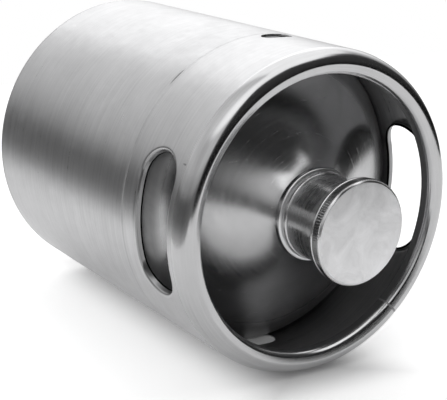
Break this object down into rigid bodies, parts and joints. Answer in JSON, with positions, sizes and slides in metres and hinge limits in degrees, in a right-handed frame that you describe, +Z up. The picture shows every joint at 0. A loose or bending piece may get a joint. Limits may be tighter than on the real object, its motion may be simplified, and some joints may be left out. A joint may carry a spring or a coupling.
{
  "type": "mini keg",
  "caption": "Small stainless steel keg with a recessed bell top, a handle collar with hand slots and a rolled rim, and a knurled screw cap.",
  "frame": {"origin": "centre of the base, on the floor that the keg stands on", "axes": "+Z up the keg's axis towards the cap; the hand slots face +X and -X, the drain slots +Y and -Y"},
  "size_m": [0.174, 0.174, 0.2383],
  "materials": {
    "barrel_steel": "brushed round the barrel",
    "base_steel": "pressed, satin",
    "head_steel": "pressed, satin to semi-polished",
    "collar_steel": "brushed round the collar",
    "rim_steel": "finely brushed, nearly polished",
    "weld_steel": "ground weld",
    "neck_steel": "turned, satin",
    "cap_steel": "matt face, polished bevels, knurled band",
    "gasket_rubber": "matt"
  },
  "bodies": {
    "vessel": {"barrel": "barrel_steel", "base_pan": "base_steel", "base_weld": "weld_steel", "collar_weld": "weld_steel", "top_head": "head_steel", "handle_collar": "collar_steel", "rim_roll": "rim_steel", "rim_weld": "weld_steel", "neck_ferrule": "neck_steel", "neck_weld": "weld_steel", "neck_thread": "neck_steel"},
    "gasket": {"cap_gasket": "gasket_rubber"},
    "cap": {"cap": "cap_steel", "cap_thread": "cap_steel"}
  },
  "joints": [
    {"name": "cap_rise", "type": "slide", "parent": "vessel", "child": "gasket", "axis": [0, 0, 1], "range_m": [0, 0.009]},
    {"name": "cap_turn", "type": "hinge", "parent": "gasket", "child": "cap", "pos_m": [0, 0, 0.2308], "axis": [0, 0, 1], "range_deg": [0, 800]}
  ],
  "couplings": [
    {"joint": "cap_rise", "follows": "cap_turn", "m_per_rad": 0.00063662}
  ]
}
